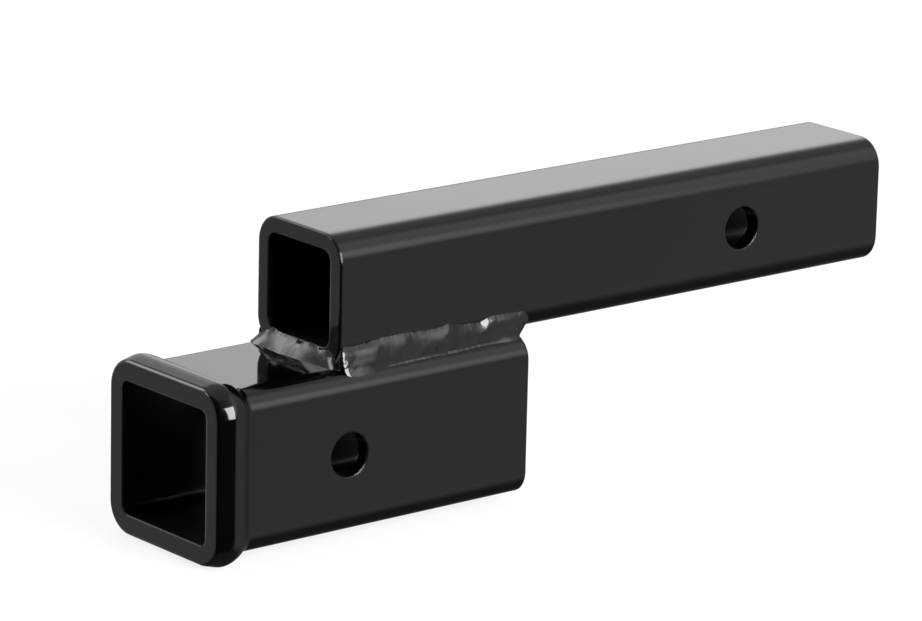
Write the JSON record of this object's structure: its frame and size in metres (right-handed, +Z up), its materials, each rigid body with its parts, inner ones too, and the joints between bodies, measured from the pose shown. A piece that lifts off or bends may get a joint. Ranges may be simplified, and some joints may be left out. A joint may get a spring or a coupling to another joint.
{
  "type": "hitch drop adapter",
  "caption": "Square shank welded on top of a wider square receiver tube with a collared mouth; lowers a trailer hitch's receiver and holds a new shank by a cross pin.",
  "frame": {"origin": "centre of the shank's pin hole, on the shank's axis", "axes": "+X along both tubes, from the receiver's open mouth towards the shank's free end; +Y along the pin holes; +Z up, from the receiver tube to the shank"},
  "size_m": [0.3404, 0.0712, 0.1182],
  "materials": {
    "powder_coat": "gloss",
    "coated_weld": "satin"
  },
  "bodies": {
    "root": {"shank_tube": "powder_coat", "receiver_tube": "powder_coat", "receiver_collar": "powder_coat", "collar_weld": "powder_coat", "shank_weld_front": "coated_weld", "shank_weld_right": "coated_weld", "shank_weld_left": "coated_weld", "shank_weld_rear": "coated_weld"}
  },
  "joints": []
}
